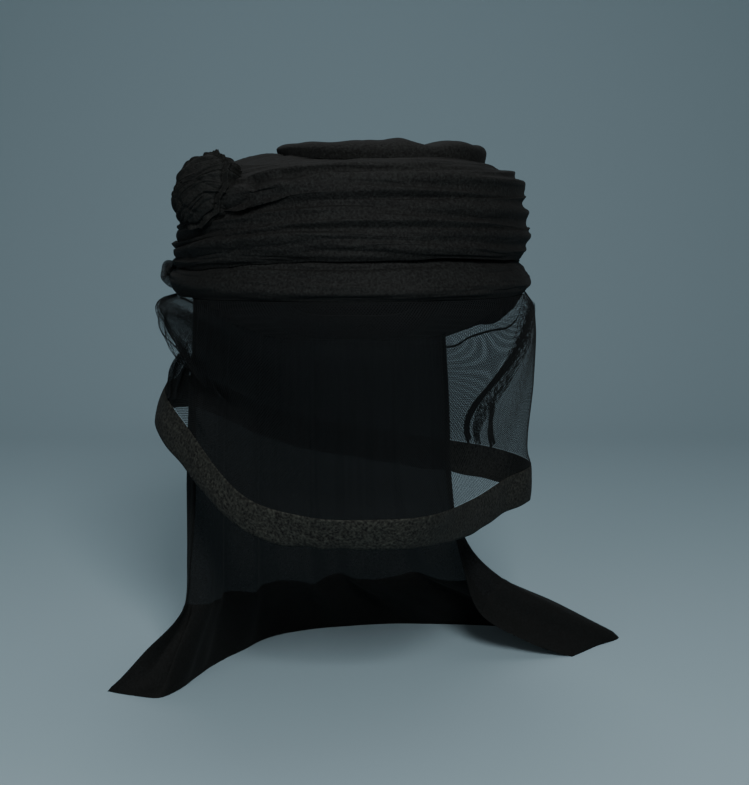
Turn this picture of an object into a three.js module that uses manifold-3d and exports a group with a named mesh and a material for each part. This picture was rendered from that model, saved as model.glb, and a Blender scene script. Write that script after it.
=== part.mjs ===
// A veiled mourning hat: a wide toque swathed in folds of black crape, with a ruched rosette on its left,
// a net veil with a crape border that hangs all round the rim and under the chin, and a long crape veil
// that falls from the back of the rim and spreads its two corners on the table.
// Millimetres, +Z up, the hat faces -Y. The origin is the centre of the head opening, where the hat sits.
import * as THREE from "three";
import { mergeVertices } from "three/addons/utils/BufferGeometryUtils.js";
import Module from "manifold-3d";

const wasm = await Module();
wasm.setup();

// Hat
const HAT_WIDTH = 278;
const HAT_DEPTH = 262;
const CROWN_HEIGHT = 111;
const RIM_FRONT = 30;
const HEAD_WIDTH = 158;
const HEAD_LENGTH = 198;
const COLLAR_HEIGHT = 20;
const COLLAR_RISE = 4;
const HAT_WALL = 2.4;
const TIP_WIDTH = 160;
const TIP_DEPTH = 152;
const TIP_WALL = 2.4;
const TIP_TILT = 2.8;

// Rosette and the net caught up beside the rim
const ROSETTE_WIDTH = 60;
const ROSETTE_HEIGHT = 54;
const ROSETTE_DEPTH = 48;
const ROSETTE_PLEATS = 9;
const GATHER_WIDTH = 28;
const GATHER_HEIGHT = 18;
const GATHER_DEPTH = 18;

// Net veil
const NET_DROP = 164;
const NET_WALL = 1;
const BORDER_WIDTH = 30;
const BORDER_WALL = 1.6;

// Long veil
const VEIL_DROP = 344;
const VEIL_SPREAD = 246;
const VEIL_WALL = 1.2;
const HEM_DEPTH = 100;
const HEM_WALL = 2.2;
const SIDE_HEM = 18;
const VEIL_FOLD = 7;
const VEIL_FOLDS = 6;

// Clearances
const GAP = 0.3;
const SEAM_GAP = 1;
const SEAT_GAP = 0.9;

const halfWidth = HAT_WIDTH / 2;
const halfDepth = HAT_DEPTH / 2;
const RIGHT_ANGLE = Math.PI / 2;
const TURN = 2 * Math.PI;

// Heights at the four sides are shares of the crown height above the front rim, and out is a share of the
// hat's half width and depth. Each row runs all round the hat, and wander is where its wave starts, in turns.
const FOLD_WANDER = 0.011;
const BRIM_ROWS = [
  { row: "lower edge", front: 0, right: -0.03, back: -0.52, left: -0.045, out: 0.965 },
  { row: "swell", front: 0.055, right: 0.05, back: -0.45, left: 0.05, out: 1 },
  { row: "slope", front: 0.17, right: 0.14, back: -0.28, left: 0.12, out: 0.975 },
  { row: "notch", front: 0.26, right: 0.207, back: -0.16, left: 0.155, out: 0.932 },
];
const FOLD_ROWS = [
  { row: "long ridge", front: 0.345, right: 0.27, back: -0.06, left: 0.18, out: 0.982, wander: 0.1 },
  { row: "valley", front: 0.38, right: 0.3, back: 0, left: 0.205, out: 0.972, wander: 0.22 },
  { row: "ridge", front: 0.425, right: 0.345, back: 0.06, left: 0.235, out: 0.992, wander: 0.55 },
  { row: "valley", front: 0.465, right: 0.385, back: 0.11, left: 0.26, out: 0.978, wander: 0.7 },
  { row: "ridge", front: 0.505, right: 0.42, back: 0.16, left: 0.29, out: 0.988, wander: 0.05 },
  { row: "valley", front: 0.545, right: 0.47, back: 0.22, left: 0.315, out: 0.968, wander: 0.3 },
  { row: "ridge", front: 0.585, right: 0.515, back: 0.28, left: 0.345, out: 0.974, wander: 0.62 },
  { row: "deep valley", front: 0.63, right: 0.585, back: 0.36, left: 0.375, out: 0.94, wander: 0.85 },
  { row: "ridge", front: 0.675, right: 0.635, back: 0.43, left: 0.41, out: 0.966, wander: 0.2 },
  { row: "valley", front: 0.72, right: 0.68, back: 0.5, left: 0.45, out: 0.95, wander: 0.4 },
  { row: "ridge", front: 0.765, right: 0.72, back: 0.57, left: 0.5, out: 0.948, wander: 0.75 },
  { row: "valley", front: 0.8, right: 0.755, back: 0.64, left: 0.56, out: 0.91, wander: 0.95 },
  { row: "top ridge", front: 0.835, right: 0.79, back: 0.72, left: 0.64, out: 0.882, wander: 0.35 },
];
const SHOULDER_ROWS = [
  { row: "shoulder", front: 0.862, right: 0.832, back: 0.81, left: 0.78, out: 0.78, shift: 0.02 },
  { row: "shelf", front: 0.876, right: 0.852, back: 0.868, left: 0.885, out: 0.65, shift: 0.1 },
  { row: "shelf edge", front: 0.876, right: 0.858, back: 0.87, left: 0.908, out: 0.46, shift: 0.16 },
];

// The crown tip is an upturned shallow pan that leans to the right: out is a share of its half width, up a
// share of the crown height and lean the share of the tilt that the row takes.
const TIP_SHIFT = 0.17;
const TIP_ROWS = [
  { row: "top", out: 0.55, up: 0.998, lean: 0 },
  { row: "top edge", out: 0.88, up: 0.988, lean: 0 },
  { row: "edge roll", out: 0.98, up: 0.962, lean: 0.3 },
  { row: "side", out: 1, up: 0.93, lean: 0.6 },
  { row: "foot", out: 0.975, up: 0.886, lean: 1 },
];
const TIP_TOP = 1.004;

// Where the net's lower edge hangs: at is the rim angle in degrees from the front towards the right side,
// across and along are shares of the half width and depth, down is a share of the net's drop from the front
// rim, and tuck is how far the border below it leans inwards.
const NET_EDGE = [
  { at: 0, across: 0.115, along: -0.68, down: 1, tuck: 0.5 },
  { at: 30, across: 0.43, along: -0.58, down: 1, tuck: 0.4 },
  { at: 60, across: 0.69, along: -0.09, down: 1.02, tuck: 0.1 },
  { at: 85, across: 0.905, along: 0.305, down: 0.995, tuck: 0.05 },
  { at: 110, across: 1.1, along: 0.65, down: 0.975, tuck: 0 },
  { at: 135, across: 0.92, along: 1.05, down: 0.96, tuck: 0 },
  { at: 160, across: 0.5, along: 1.26, down: 0.93, tuck: 0 },
  { at: 185, across: -0.04, along: 1.31, down: 0.865, tuck: 0 },
  { at: 210, across: -0.54, along: 1.15, down: 0.745, tuck: 0 },
  { at: 235, across: -0.955, along: 0.86, down: 0.535, tuck: -0.3 },
  { at: 258, across: -1.115, along: 0.37, down: 0.53, tuck: -0.35 },
  { at: 285, across: -0.95, along: -0.06, down: 0.7, tuck: -0.2 },
  { at: 315, across: -0.595, along: -0.46, down: 0.93, tuck: 0.1 },
  { at: 340, across: -0.215, along: -0.65, down: 0.995, tuck: 0.45 },
];
// The net's swell on the way down, as shares of the half width: all round, and more where it is caught up.
const NET_SWELL = [
  { down: 0, all: 0, left: 0 },
  { down: 0.07, all: 0.055, left: 0.043 },
  { down: 0.19, all: 0.08, left: -0.011 },
  { down: 0.27, all: 0.083, left: -0.025 },
  { down: 0.37, all: 0.078, left: -0.063 },
  { down: 0.46, all: 0.07, left: -0.101 },
  { down: 0.53, all: 0.062, left: -0.134 },
  { down: 0.65, all: 0.04, left: -0.072 },
  { down: 0.8, all: 0.008, left: -0.017 },
  { down: 0.92, all: -0.01, left: 0 },
  { down: 1, all: 0, left: 0 },
];

// The long veil hangs from the left side of the rim round the back: angles from the front, in degrees.
const VEIL_FROM = -100;
const VEIL_TO = -219;
const VEIL_SEAT = 0.9;
// Its bottom edge on the table from the left corner to the right: across and along are shares of the spread,
// lies is how much of the flat fall the veil has there, beside the plain one, and soon how much of the
// sooner reach.
const VEIL_EDGE = [
  { at: 0, across: -0.84, along: 0.1, lies: 0, soon: 0 },
  { at: 0.042, across: -0.75, along: 0.057, lies: 0, soon: 0 },
  { at: 0.083, across: -0.65, along: 0.037, lies: 0, soon: 0 },
  { at: 0.133, across: -0.585, along: 0.138, lies: 0, soon: 0 },
  { at: 0.19, across: -0.537, along: 0.268, lies: 0, soon: 0 },
  { at: 0.277, across: -0.44, along: 0.455, lies: 0, soon: 0 },
  { at: 0.369, across: -0.317, along: 0.642, lies: 0, soon: 0 },
  { at: 0.462, across: -0.114, along: 0.748, lies: 0, soon: 0 },
  { at: 0.56, across: 0.13, along: 0.79, lies: 0, soon: 0 },
  { at: 0.65, across: 0.36, along: 0.79, lies: 0, soon: 0 },
  { at: 0.735, across: 0.58, along: 0.76, lies: 0, soon: 0.3 },
  { at: 0.815, across: 0.79, along: 0.71, lies: 0, soon: 0.8 },
  { at: 0.89, across: 1, along: 0.645, lies: 0, soon: 1 },
  { at: 0.945, across: 0.9, along: 0.54, lies: 0, soon: 1 },
  { at: 1, across: 0.797, along: 0.43, lies: 0.6, soon: 0.4 },
];
// How the veil falls: drop is its share of the way down and flat the same where it lies sooner on the table,
// reach is its share of the way out, sooner what is added where it spreads sooner, and fold its share of the
// full fold depth.
const VEIL_FALL = [
  { down: 0, drop: 0, flat: 0, reach: 0, sooner: 0, fold: 0.3 },
  { down: 0.12, drop: 0.18, flat: 0.2, reach: 0.05, sooner: 0, fold: 0.7 },
  { down: 0.3, drop: 0.42, flat: 0.47, reach: 0.09, sooner: 0.04, fold: 1 },
  { down: 0.48, drop: 0.66, flat: 0.74, reach: 0.14, sooner: 0.11, fold: 1 },
  { down: 0.6, drop: 0.79, flat: 0.9, reach: 0.22, sooner: 0.2, fold: 0.9 },
  { down: 0.72, drop: 0.895, flat: 0.985, reach: 0.6, sooner: 0.08, fold: 0.75 },
  { down: 0.86, drop: 0.965, flat: 1, reach: 0.85, sooner: 0.03, fold: 0.5 },
  { down: 1, drop: 1, flat: 1, reach: 1, sooner: 0, fold: 0.3 },
];

const CRAPE = new THREE.MeshStandardMaterial({ color: "#0d0d0e", roughness: 0.95, metalness: 0 });
const VEIL_CRAPE = new THREE.MeshStandardMaterial({ color: "#121416", roughness: 0.9, metalness: 0 });
const NET = new THREE.MeshStandardMaterial({ color: "#15181a", roughness: 0.85, metalness: 0 });

// A smooth line through the values of one column, at place x of column key. Rows are in order of key.
function along(rows, key, column, x) {
  let i = 0;
  while (i < rows.length - 2 && rows[i + 1][key] <= x) i++;
  const a = rows[i];
  const b = rows[i + 1];
  const before = rows[Math.max(i - 1, 0)];
  const after = rows[Math.min(i + 2, rows.length - 1)];
  const span = b[key] - a[key];
  const t = (x - a[key]) / span;
  const slopeA = (span * (b[column] - before[column])) / (b[key] - before[key]);
  const slopeB = (span * (after[column] - a[column])) / (after[key] - a[key]);
  const rest = 1 - t;
  return (
    a[column] * (1 + 2 * t) * rest * rest +
    slopeA * t * rest * rest +
    b[column] * t * t * (3 - 2 * t) -
    slopeB * t * t * rest
  );
}

// The same for rows that close on themselves after a full turn.
function aroundTurn(rows, column, degrees) {
  const turned = ((degrees % 360) + 360) % 360;
  const last = rows.slice(-2).map((r) => ({ ...r, at: r.at - 360 }));
  const first = rows.slice(0, 2).map((r) => ({ ...r, at: r.at + 360 }));
  return along([...last, ...rows, ...first], "at", column, turned);
}

// Blends a row's four sides at an angle. Behind, the dip is kept near the back.
function sideBlend(row, angle) {
  const ahead = Math.cos(angle);
  const aside = Math.sin(angle);
  const side = ahead > 0 ? aside ** 2 : aside ** 4;
  return (1 - side) * (ahead > 0 ? row.front : row.back) + side * (aside > 0 ? row.right : row.left);
}

const heightOf = (share) => RIM_FRONT + CROWN_HEIGHT * share;
const ovalPoint = (angle, across, deep, height) =>
  new THREE.Vector3(across * Math.sin(angle), -deep * Math.cos(angle), height);

// A point of a hat row, let out by some millimetres.
function rowPoint(row, angle, letOut = 0, lift = 0) {
  const wave = row.wander === undefined ? 0 : FOLD_WANDER * Math.sin(3 * angle + TURN * row.wander);
  const across = halfWidth * (row.out + wave) + letOut;
  const deep = halfDepth * (row.out + wave) + letOut;
  const p = ovalPoint(angle, across, deep, heightOf(sideBlend(row, angle) + wave) + lift);
  p.x += halfWidth * (row.shift ?? 0);
  return p;
}

// A closed geometry from vertices and triangles, with its faces turned outwards.
function solid(points, faces) {
  let volume = 0;
  for (const [a, b, c] of faces) volume += points[a].dot(points[b].clone().cross(points[c]));
  const out = volume < 0 ? faces.map(([a, b, c]) => [a, c, b]) : faces;
  const geometry = new THREE.BufferGeometry().setFromPoints(points);
  geometry.setIndex(out.flat());
  return geometry;
}

// Angles all round, without the last that meets the first.
const turnStops = (columns) => Array.from({ length: columns }, (_, i) => (TURN * i) / columns);

// A ring of rows that closes both round the hat and round its own section.
function ringSolid(sections, columns) {
  const points = [];
  const faces = [];
  for (const section of sections) points.push(...turnStops(columns).map(section));
  for (let j = 0; j < sections.length; j++) {
    const here = j * columns;
    const next = ((j + 1) % sections.length) * columns;
    for (let i = 0; i < columns; i++) {
      const k = (i + 1) % columns;
      faces.push([here + i, here + k, next + k], [here + i, next + k, next + i]);
    }
  }
  return solid(points, faces);
}

// Rows between two poles.
function cappedSolid(sections, columns, firstPole, lastPole) {
  const points = [];
  const faces = [];
  for (const section of sections) points.push(...turnStops(columns).map(section));
  const first = points.push(firstPole) - 1;
  const last = points.push(lastPole) - 1;
  const lastRow = (sections.length - 1) * columns;
  for (let i = 0; i < columns; i++) {
    const k = (i + 1) % columns;
    faces.push([first, k, i], [last, lastRow + i, lastRow + k]);
    for (let here = 0; here < lastRow; here += columns) {
      const next = here + columns;
      faces.push([here + i, here + k, next + k], [here + i, next + k, next + i]);
    }
  }
  return solid(points, faces);
}

// Evenly spaced values from one to another, with both ends.
const spread = (from, to, count) =>
  Array.from({ length: count + 1 }, (_, i) => from + ((to - from) * i) / count);

// A thin wall on both sides of a surface of two parameters, closed into a loop or with two side edges.
// Stops are the places across the surface where the wall has its vertices. Inset draws its edges in, and
// edgeWall is its thickness along them.
function sheetSolid(surface, { stops, top, bottom, rows, wall, edgeWall = wall, inset = 0, loop = false }) {
  const points = [];
  const faces = [];
  const step = 1e-3;
  const columns = stops.length - 1;
  const wide = loop ? columns : columns + 1;
  for (const side of [0.5, -0.5]) {
    for (let j = 0; j <= rows; j++) {
      for (let i = 0; i < wide; i++) {
        const u = stops[i];
        const v = top + ((bottom - top) * j) / rows;
        const alongU = surface(u + step, v).sub(surface(u - step, v));
        const alongV = surface(u, v + step).sub(surface(u, v - step));
        const sideways = loop ? 0 : (i === 0) - (i === columns);
        const upright = (j === 0) - (j === rows);
        const normal = alongU.clone().cross(alongV);
        const shear = Math.max(normal.length(), 0.5 * alongU.length() * alongV.length());
        const share = (inset * 2 * step) / shear;
        const thick = sideways || upright ? Math.min(wall, edgeWall) : wall;
        const inwardsU = sideways * share * alongV.length();
        const inwardsV = upright * share * alongU.length();
        normal.normalize();
        points.push(surface(u + inwardsU, v + inwardsV).addScaledVector(normal, thick * side));
      }
    }
  }
  const back = (rows + 1) * wide;
  const quad = (a, b, c, d) => faces.push([a, b, c], [a, c, d]);
  for (let i = 0; i < columns; i++) {
    const k = (i + 1) % wide;
    for (let j = 0; j < rows; j++) {
      const here = j * wide;
      const next = here + wide;
      quad(here + i, here + k, next + k, next + i);
      quad(back + here + k, back + here + i, back + next + i, back + next + k);
    }
    const foot = rows * wide;
    quad(k, i, back + i, back + k);
    quad(foot + i, foot + k, back + foot + k, back + foot + i);
  }
  if (!loop) {
    for (let j = 0; j < rows; j++) {
      const here = j * wide;
      const next = here + wide;
      quad(here, next, back + next, back + here);
      quad(next + columns, here + columns, back + here + columns, back + next + columns);
    }
  }
  return solid(points, faces);
}

// One geometry less another.
function cutBy(geometry, tool) {
  const [body, cutter] = [geometry, tool].map((g) => {
    const merged = mergeVertices(g, 1e-4);
    return new wasm.Manifold(
      new wasm.Mesh({
        numProp: 3,
        vertProperties: merged.attributes.position.array,
        triVerts: new Uint32Array(merged.index.array),
      }),
    );
  });
  const pieces = body.subtract(cutter).decompose();
  const largest = pieces.reduce((a, b) => (b.volume() > a.volume() ? b : a));
  const mesh = largest.getMesh();
  const cut = new THREE.BufferGeometry();
  cut.setAttribute("position", new THREE.BufferAttribute(mesh.vertProperties, 3));
  cut.setIndex(new THREE.BufferAttribute(mesh.triVerts, 1));
  return cut;
}

// The whole outside of brim and crown as one filled body, let out by a clearance, to seat trimmings on.
function hatBody(letOut) {
  const rows = [...BRIM_ROWS, ...FOLD_ROWS, ...SHOULDER_ROWS];
  const lift = (row) => (SHOULDER_ROWS.includes(row) ? letOut / 2 : 0);
  const low = rowPoint(rows[0], 0).setX(0).setY(0);
  const high = rowPoint(rows[rows.length - 1], 0, 0, letOut / 2).setX(0).setY(0);
  return cappedSolid(
    rows.map((row) => (angle) => rowPoint(row, angle, letOut, lift(row))),
    48,
    low,
    high,
  );
}

// Brim: its outside, the flat underbrim and the collar turned up round the head.
function brim() {
  const [edge, swell, slope, notch] = BRIM_ROWS;
  const collar = (letOut, up) => (angle) => {
    const foot = heightOf(sideBlend(edge, angle)) + COLLAR_RISE;
    return ovalPoint(angle, HEAD_WIDTH / 2 + letOut, HEAD_LENGTH / 2 + letOut, foot + up);
  };
  const sections = [
    (a) => rowPoint(notch, a),
    (a) => rowPoint(slope, a),
    (a) => rowPoint(swell, a),
    (a) => rowPoint(edge, a),
    collar(0, 0),
    collar(0, COLLAR_HEIGHT),
    collar(HAT_WALL, COLLAR_HEIGHT),
    collar(HAT_WALL, HAT_WALL),
    (a) => rowPoint(edge, a, -HAT_WALL, HAT_WALL),
    (a) => rowPoint(swell, a, -HAT_WALL),
    (a) => rowPoint(slope, a, -HAT_WALL),
    (a) => rowPoint(notch, a, -HAT_WALL),
  ];
  return ringSolid(sections, 48);
}

// Crown drapery: the folds outside, a shelf under the tip, and a plain inside that follows the valleys.
function crownDrapery() {
  const notch = BRIM_ROWS[BRIM_ROWS.length - 1];
  const valleys = FOLD_ROWS.filter((row) => row.row.includes("valley"));
  const [shoulder, shelf, shelfEdge] = SHOULDER_ROWS;
  const sections = [
    (a) => rowPoint(notch, a, 0, GAP),
    ...FOLD_ROWS.map((row) => (a) => rowPoint(row, a)),
    ...SHOULDER_ROWS.map((row) => (a) => rowPoint(row, a)),
    (a) => rowPoint(shelfEdge, a, 0, -HAT_WALL),
    (a) => rowPoint(shelf, a, 0, -HAT_WALL),
    (a) => rowPoint(shoulder, a, -HAT_WALL / 2, -HAT_WALL),
    ...valleys.reverse().map((row) => (a) => rowPoint(row, a, -HAT_WALL)),
    (a) => rowPoint(notch, a, -HAT_WALL, GAP),
  ];
  return ringSolid(sections, 48);
}

// Crown tip: an upturned pan that stands on the crown's shelf.
function crownTip() {
  const centre = halfWidth * TIP_SHIFT;
  const section = (out, up, lean = 0, letIn = 0) => (angle) => {
    const height = up - TIP_TILT * lean * Math.sin(angle);
    const p = ovalPoint(angle, (TIP_WIDTH / 2) * out - letIn, (TIP_DEPTH / 2) * out - letIn, height);
    p.x += centre;
    return p;
  };
  const foot = TIP_ROWS[TIP_ROWS.length - 1];
  const top = TIP_ROWS[0];
  const seat = heightOf(foot.up) + GAP;
  const outside = TIP_ROWS.slice(0, -1).map((row) => section(row.out, heightOf(row.up), row.lean));
  const ceiling = heightOf(top.up) - TIP_WALL;
  const sections = [
    ...outside,
    section(foot.out, seat, foot.lean),
    section(foot.out, seat, foot.lean, TIP_WALL),
    section(foot.out, ceiling - TIP_WALL, 0, TIP_WALL),
    section(top.out, ceiling),
  ];
  return cappedSolid(
    sections,
    40,
    new THREE.Vector3(centre, 0, heightOf(TIP_TOP)),
    new THREE.Vector3(centre, 0, ceiling),
  );
}

// A puff of gathered cloth: an oval pad whose pleats run along its first axis.
function puff({ centre, outward, pleatAlong, width, height, depth, pleats, ridge, columns, levels }) {
  const out = outward.clone().normalize();
  const first = pleatAlong.clone().addScaledVector(out, -pleatAlong.dot(out)).normalize();
  const second = out.clone().cross(first);
  const place = (a, b, c) =>
    centre.clone().addScaledVector(first, a).addScaledVector(second, b).addScaledVector(out, c);
  const sections = [];
  for (let j = 1; j < levels; j++) {
    const tilt = (Math.PI * j) / levels;
    sections.push((angle) => {
      const b = Math.sin(tilt) * Math.sin(angle);
      const swell = 1 + ridge * Math.cos(TURN * pleats * (b / 2 + 0.5));
      return place(
        (width / 2) * swell * Math.sin(tilt) * Math.cos(angle),
        (height / 2) * b,
        (depth / 2) * swell * Math.cos(tilt),
      );
    });
  }
  const tall = (depth / 2) * (1 + ridge * Math.cos(Math.PI * pleats));
  return cappedSolid(sections, columns, place(0, 0, tall), place(0, 0, -tall));
}

// Rosette: seated on the crown's left front shoulder.
function rosette() {
  const angle = -0.9;
  const seat = { front: 0.66, right: 0.66, back: 0.66, left: 0.66, out: 0.92 };
  const body = puff({
    centre: rowPoint(seat, angle),
    outward: new THREE.Vector3(Math.sin(angle), -Math.cos(angle), 0.32),
    pleatAlong: new THREE.Vector3(0.72, -0.4, 0.66),
    width: ROSETTE_WIDTH,
    height: ROSETTE_HEIGHT,
    depth: ROSETTE_DEPTH,
    pleats: ROSETTE_PLEATS,
    ridge: 0.07,
    columns: 44,
    levels: 9,
  });
  return cutBy(body, hatBody(SEAT_GAP));
}

// Net gather: the surplus of the net, caught up on the brim's left side.
function netGather() {
  const angle = -1.54;
  const seat = { front: 0.1, right: 0.1, back: 0.1, left: 0.1, out: 1 };
  const body = puff({
    centre: rowPoint(seat, angle),
    outward: new THREE.Vector3(Math.sin(angle), -Math.cos(angle), 0),
    pleatAlong: new THREE.Vector3(0, 0, 1),
    width: GATHER_HEIGHT,
    height: GATHER_WIDTH,
    depth: GATHER_DEPTH,
    pleats: 3,
    ridge: 0.12,
    columns: 24,
    levels: 7,
  });
  return cutBy(body, hatBody(SEAT_GAP));
}

// The net's lower edge, where the border starts.
function netEdge(degrees) {
  return new THREE.Vector3(
    halfWidth * aroundTurn(NET_EDGE, "across", degrees),
    halfDepth * aroundTurn(NET_EDGE, "along", degrees),
    RIM_FRONT - NET_DROP * aroundTurn(NET_EDGE, "down", degrees),
  );
}

// The net hangs from just under the brim's lower edge. Turn is in full turns, down runs from 0 to 1.
function netSurface(turn, down) {
  const angle = TURN * turn;
  const top = rowPoint(BRIM_ROWS[0], angle, NET_WALL, -GAP);
  const p = top.lerp(netEdge(360 * turn), down);
  const leftShare = Math.max(0, -Math.sin(angle)) ** 2;
  const swell =
    along(NET_SWELL, "down", "all", down) + leftShare * along(NET_SWELL, "down", "left", down);
  p.x += halfWidth * swell * Math.sin(angle);
  p.y -= halfWidth * swell * Math.cos(angle);
  return p;
}

// The border hangs from the net's edge and leans inwards under the chin.
function borderSurface(turn, down) {
  const p = netEdge(360 * turn);
  const tuck = aroundTurn(NET_EDGE, "tuck", 360 * turn);
  const way = new THREE.Vector3(-p.x * tuck, -p.y * tuck, 0).divideScalar(Math.hypot(p.x, p.y));
  way.z = -1;
  return p.addScaledVector(way.normalize(), SEAM_GAP + BORDER_WIDTH * down);
}

// The veil before its folds: at runs from the left corner to the right, down from the rim to the hem.
function veilBase(at, down) {
  const angle = ((VEIL_FROM + (VEIL_TO - VEIL_FROM) * at) * Math.PI) / 180;
  const edge = BRIM_ROWS[0];
  const inOnBrim = (edge.out - VEIL_SEAT) / (edge.out - HEAD_WIDTH / HAT_WIDTH);
  const seatRise = COLLAR_RISE * inOnBrim + SEAM_GAP / 2 - 3.5 * GAP;
  const head = ovalPoint(
    angle,
    halfWidth * VEIL_SEAT,
    halfDepth * VEIL_SEAT,
    heightOf(sideBlend(edge, angle)) + seatRise,
  );
  const soon = along(VEIL_EDGE, "at", "soon", at);
  const reach = along(VEIL_FALL, "down", "reach", down) + soon * along(VEIL_FALL, "down", "sooner", down);
  const lies = along(VEIL_EDGE, "at", "lies", at);
  const [plain, flat] = ["drop", "flat"].map((column) => along(VEIL_FALL, "down", column, down));
  const drop = (1 - lies) * plain + lies * flat;
  const foot = RIM_FRONT - VEIL_DROP + HEM_WALL;
  return new THREE.Vector3(
    head.x + (VEIL_SPREAD * along(VEIL_EDGE, "at", "across", at) - head.x) * reach,
    head.y + (VEIL_SPREAD * along(VEIL_EDGE, "at", "along", at) - head.y) * reach,
    head.z + (foot - head.z) * drop,
  );
}

// The veil with its hanging folds, which stand outwards of the plain fall.
function veilSurface(at, down) {
  const step = 1e-3;
  const across = veilBase(at + step, down).sub(veilBase(at - step, down));
  const fall = veilBase(at, down + step).sub(veilBase(at, down - step));
  const outward = across.cross(fall).normalize();
  const wave = Math.sin(TURN * VEIL_FOLDS * at - 1) + 0.35 * Math.sin(TURN * (VEIL_FOLDS + 4) * at - 1.8);
  const fold = VEIL_FOLD * along(VEIL_FALL, "down", "fold", down) * (1 + wave / 1.35);
  return veilBase(at, down).addScaledVector(outward, fold);
}

// Cloth that the last steps down cover, near the table, for one whole step.
const lowerCloth = VEIL_DROP * 0.73;
const veilTopWidth = (((VEIL_FROM - VEIL_TO) * Math.PI) / 180) * halfWidth * VEIL_SEAT;
const hemTop = 1 - HEM_DEPTH / lowerCloth;
const sideHem = SIDE_HEM / (2.4 * veilTopWidth);
const leftStops = spread(0, sideHem, 2);
const mainStops = spread(sideHem, 1 - sideHem, 46);
const rightStops = spread(1 - sideHem, 1, 2);

function veilPart(stops, top, bottom, rows, wall) {
  const seams = { edgeWall: VEIL_WALL, inset: SEAM_GAP / 2 };
  return sheetSolid(veilSurface, { stops, top, bottom, rows, wall, ...seams });
}

const hat = new THREE.Group();

function add(name, geometry, material) {
  const mesh = new THREE.Mesh(geometry, material);
  mesh.name = name;
  hat.add(mesh);
}

add("brim", brim(), CRAPE);
add("crown_drapery", crownDrapery(), CRAPE);
add("crown_tip", crownTip(), CRAPE);
add("rosette", rosette(), CRAPE);
add("net_gather", netGather(), NET);
add(
  "face_net",
  sheetSolid(netSurface, {
    stops: spread(0, 1, 48),
    top: 0,
    bottom: 1,
    rows: 8,
    wall: NET_WALL,
    loop: true,
  }),
  NET,
);
add(
  "net_border",
  sheetSolid(borderSurface, {
    stops: spread(0, 1, 48),
    top: 0,
    bottom: 1,
    rows: 1,
    wall: BORDER_WALL,
    loop: true,
  }),
  CRAPE,
);
add("back_veil", veilPart(mainStops, 0, hemTop, 9, VEIL_WALL), VEIL_CRAPE);
add(
  "veil_hem",
  veilPart([...leftStops, ...mainStops.slice(1), ...rightStops.slice(1)], hemTop, 1, 5, HEM_WALL),
  VEIL_CRAPE,
);
add("veil_side_hem_left", veilPart(leftStops, 0, hemTop, 9, HEM_WALL), VEIL_CRAPE);
add("veil_side_hem_right", veilPart(rightStops, 0, hemTop, 9, HEM_WALL), VEIL_CRAPE);

export default hat;
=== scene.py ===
"""Dressed model of the veiled mourning hat: crimped black crape, fine diamond net, and the camera, light and floor
of the photograph's view.

Shapes are worked out in millimetres, in the same frame and from the same named values as the part's source, and
become metres when a mesh is made. A turn is a share of the way round the hat from the front, through the right.
Numbered seeds keep every random draw the same from run to run.
"""

import bpy
import numpy as np
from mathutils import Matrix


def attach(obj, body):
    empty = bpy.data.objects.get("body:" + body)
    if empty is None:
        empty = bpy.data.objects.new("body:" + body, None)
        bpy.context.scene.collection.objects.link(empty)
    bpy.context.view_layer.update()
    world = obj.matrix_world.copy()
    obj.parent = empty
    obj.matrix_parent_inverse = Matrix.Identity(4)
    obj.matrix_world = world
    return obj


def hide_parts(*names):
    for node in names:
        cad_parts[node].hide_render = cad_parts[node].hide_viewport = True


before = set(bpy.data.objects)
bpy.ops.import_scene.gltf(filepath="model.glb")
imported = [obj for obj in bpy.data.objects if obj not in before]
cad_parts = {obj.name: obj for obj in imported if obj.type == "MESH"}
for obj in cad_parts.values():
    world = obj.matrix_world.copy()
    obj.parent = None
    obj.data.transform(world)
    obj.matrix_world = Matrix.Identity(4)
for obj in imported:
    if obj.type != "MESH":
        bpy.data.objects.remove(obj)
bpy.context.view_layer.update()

TURN = 2 * np.pi
HALF_WIDTH, HALF_DEPTH = 139.0, 131.0
CROWN_HEIGHT, RIM_FRONT = 111.0, 30.0
HEAD_WIDTH, HEAD_LENGTH = 158.0, 198.0
COLLAR_HEIGHT, COLLAR_RISE, WALL = 20.0, 4.0, 2.4
TIP_WIDTH, TIP_DEPTH, TIP_SHIFT = 160.0, 152.0, 0.17
NET_DROP, BORDER_WIDTH = 164.0, 30.0
VEIL_DROP, VEIL_SPREAD, VEIL_FOLD, VEIL_FOLDS = 344.0, 246.0, 7.0, 6
VEIL_FROM, VEIL_TO, VEIL_SEAT = -100.0, -219.0, 0.9
HEM_DEPTH, SIDE_HEM = 100.0, 18.0
GAP = 0.3

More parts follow.
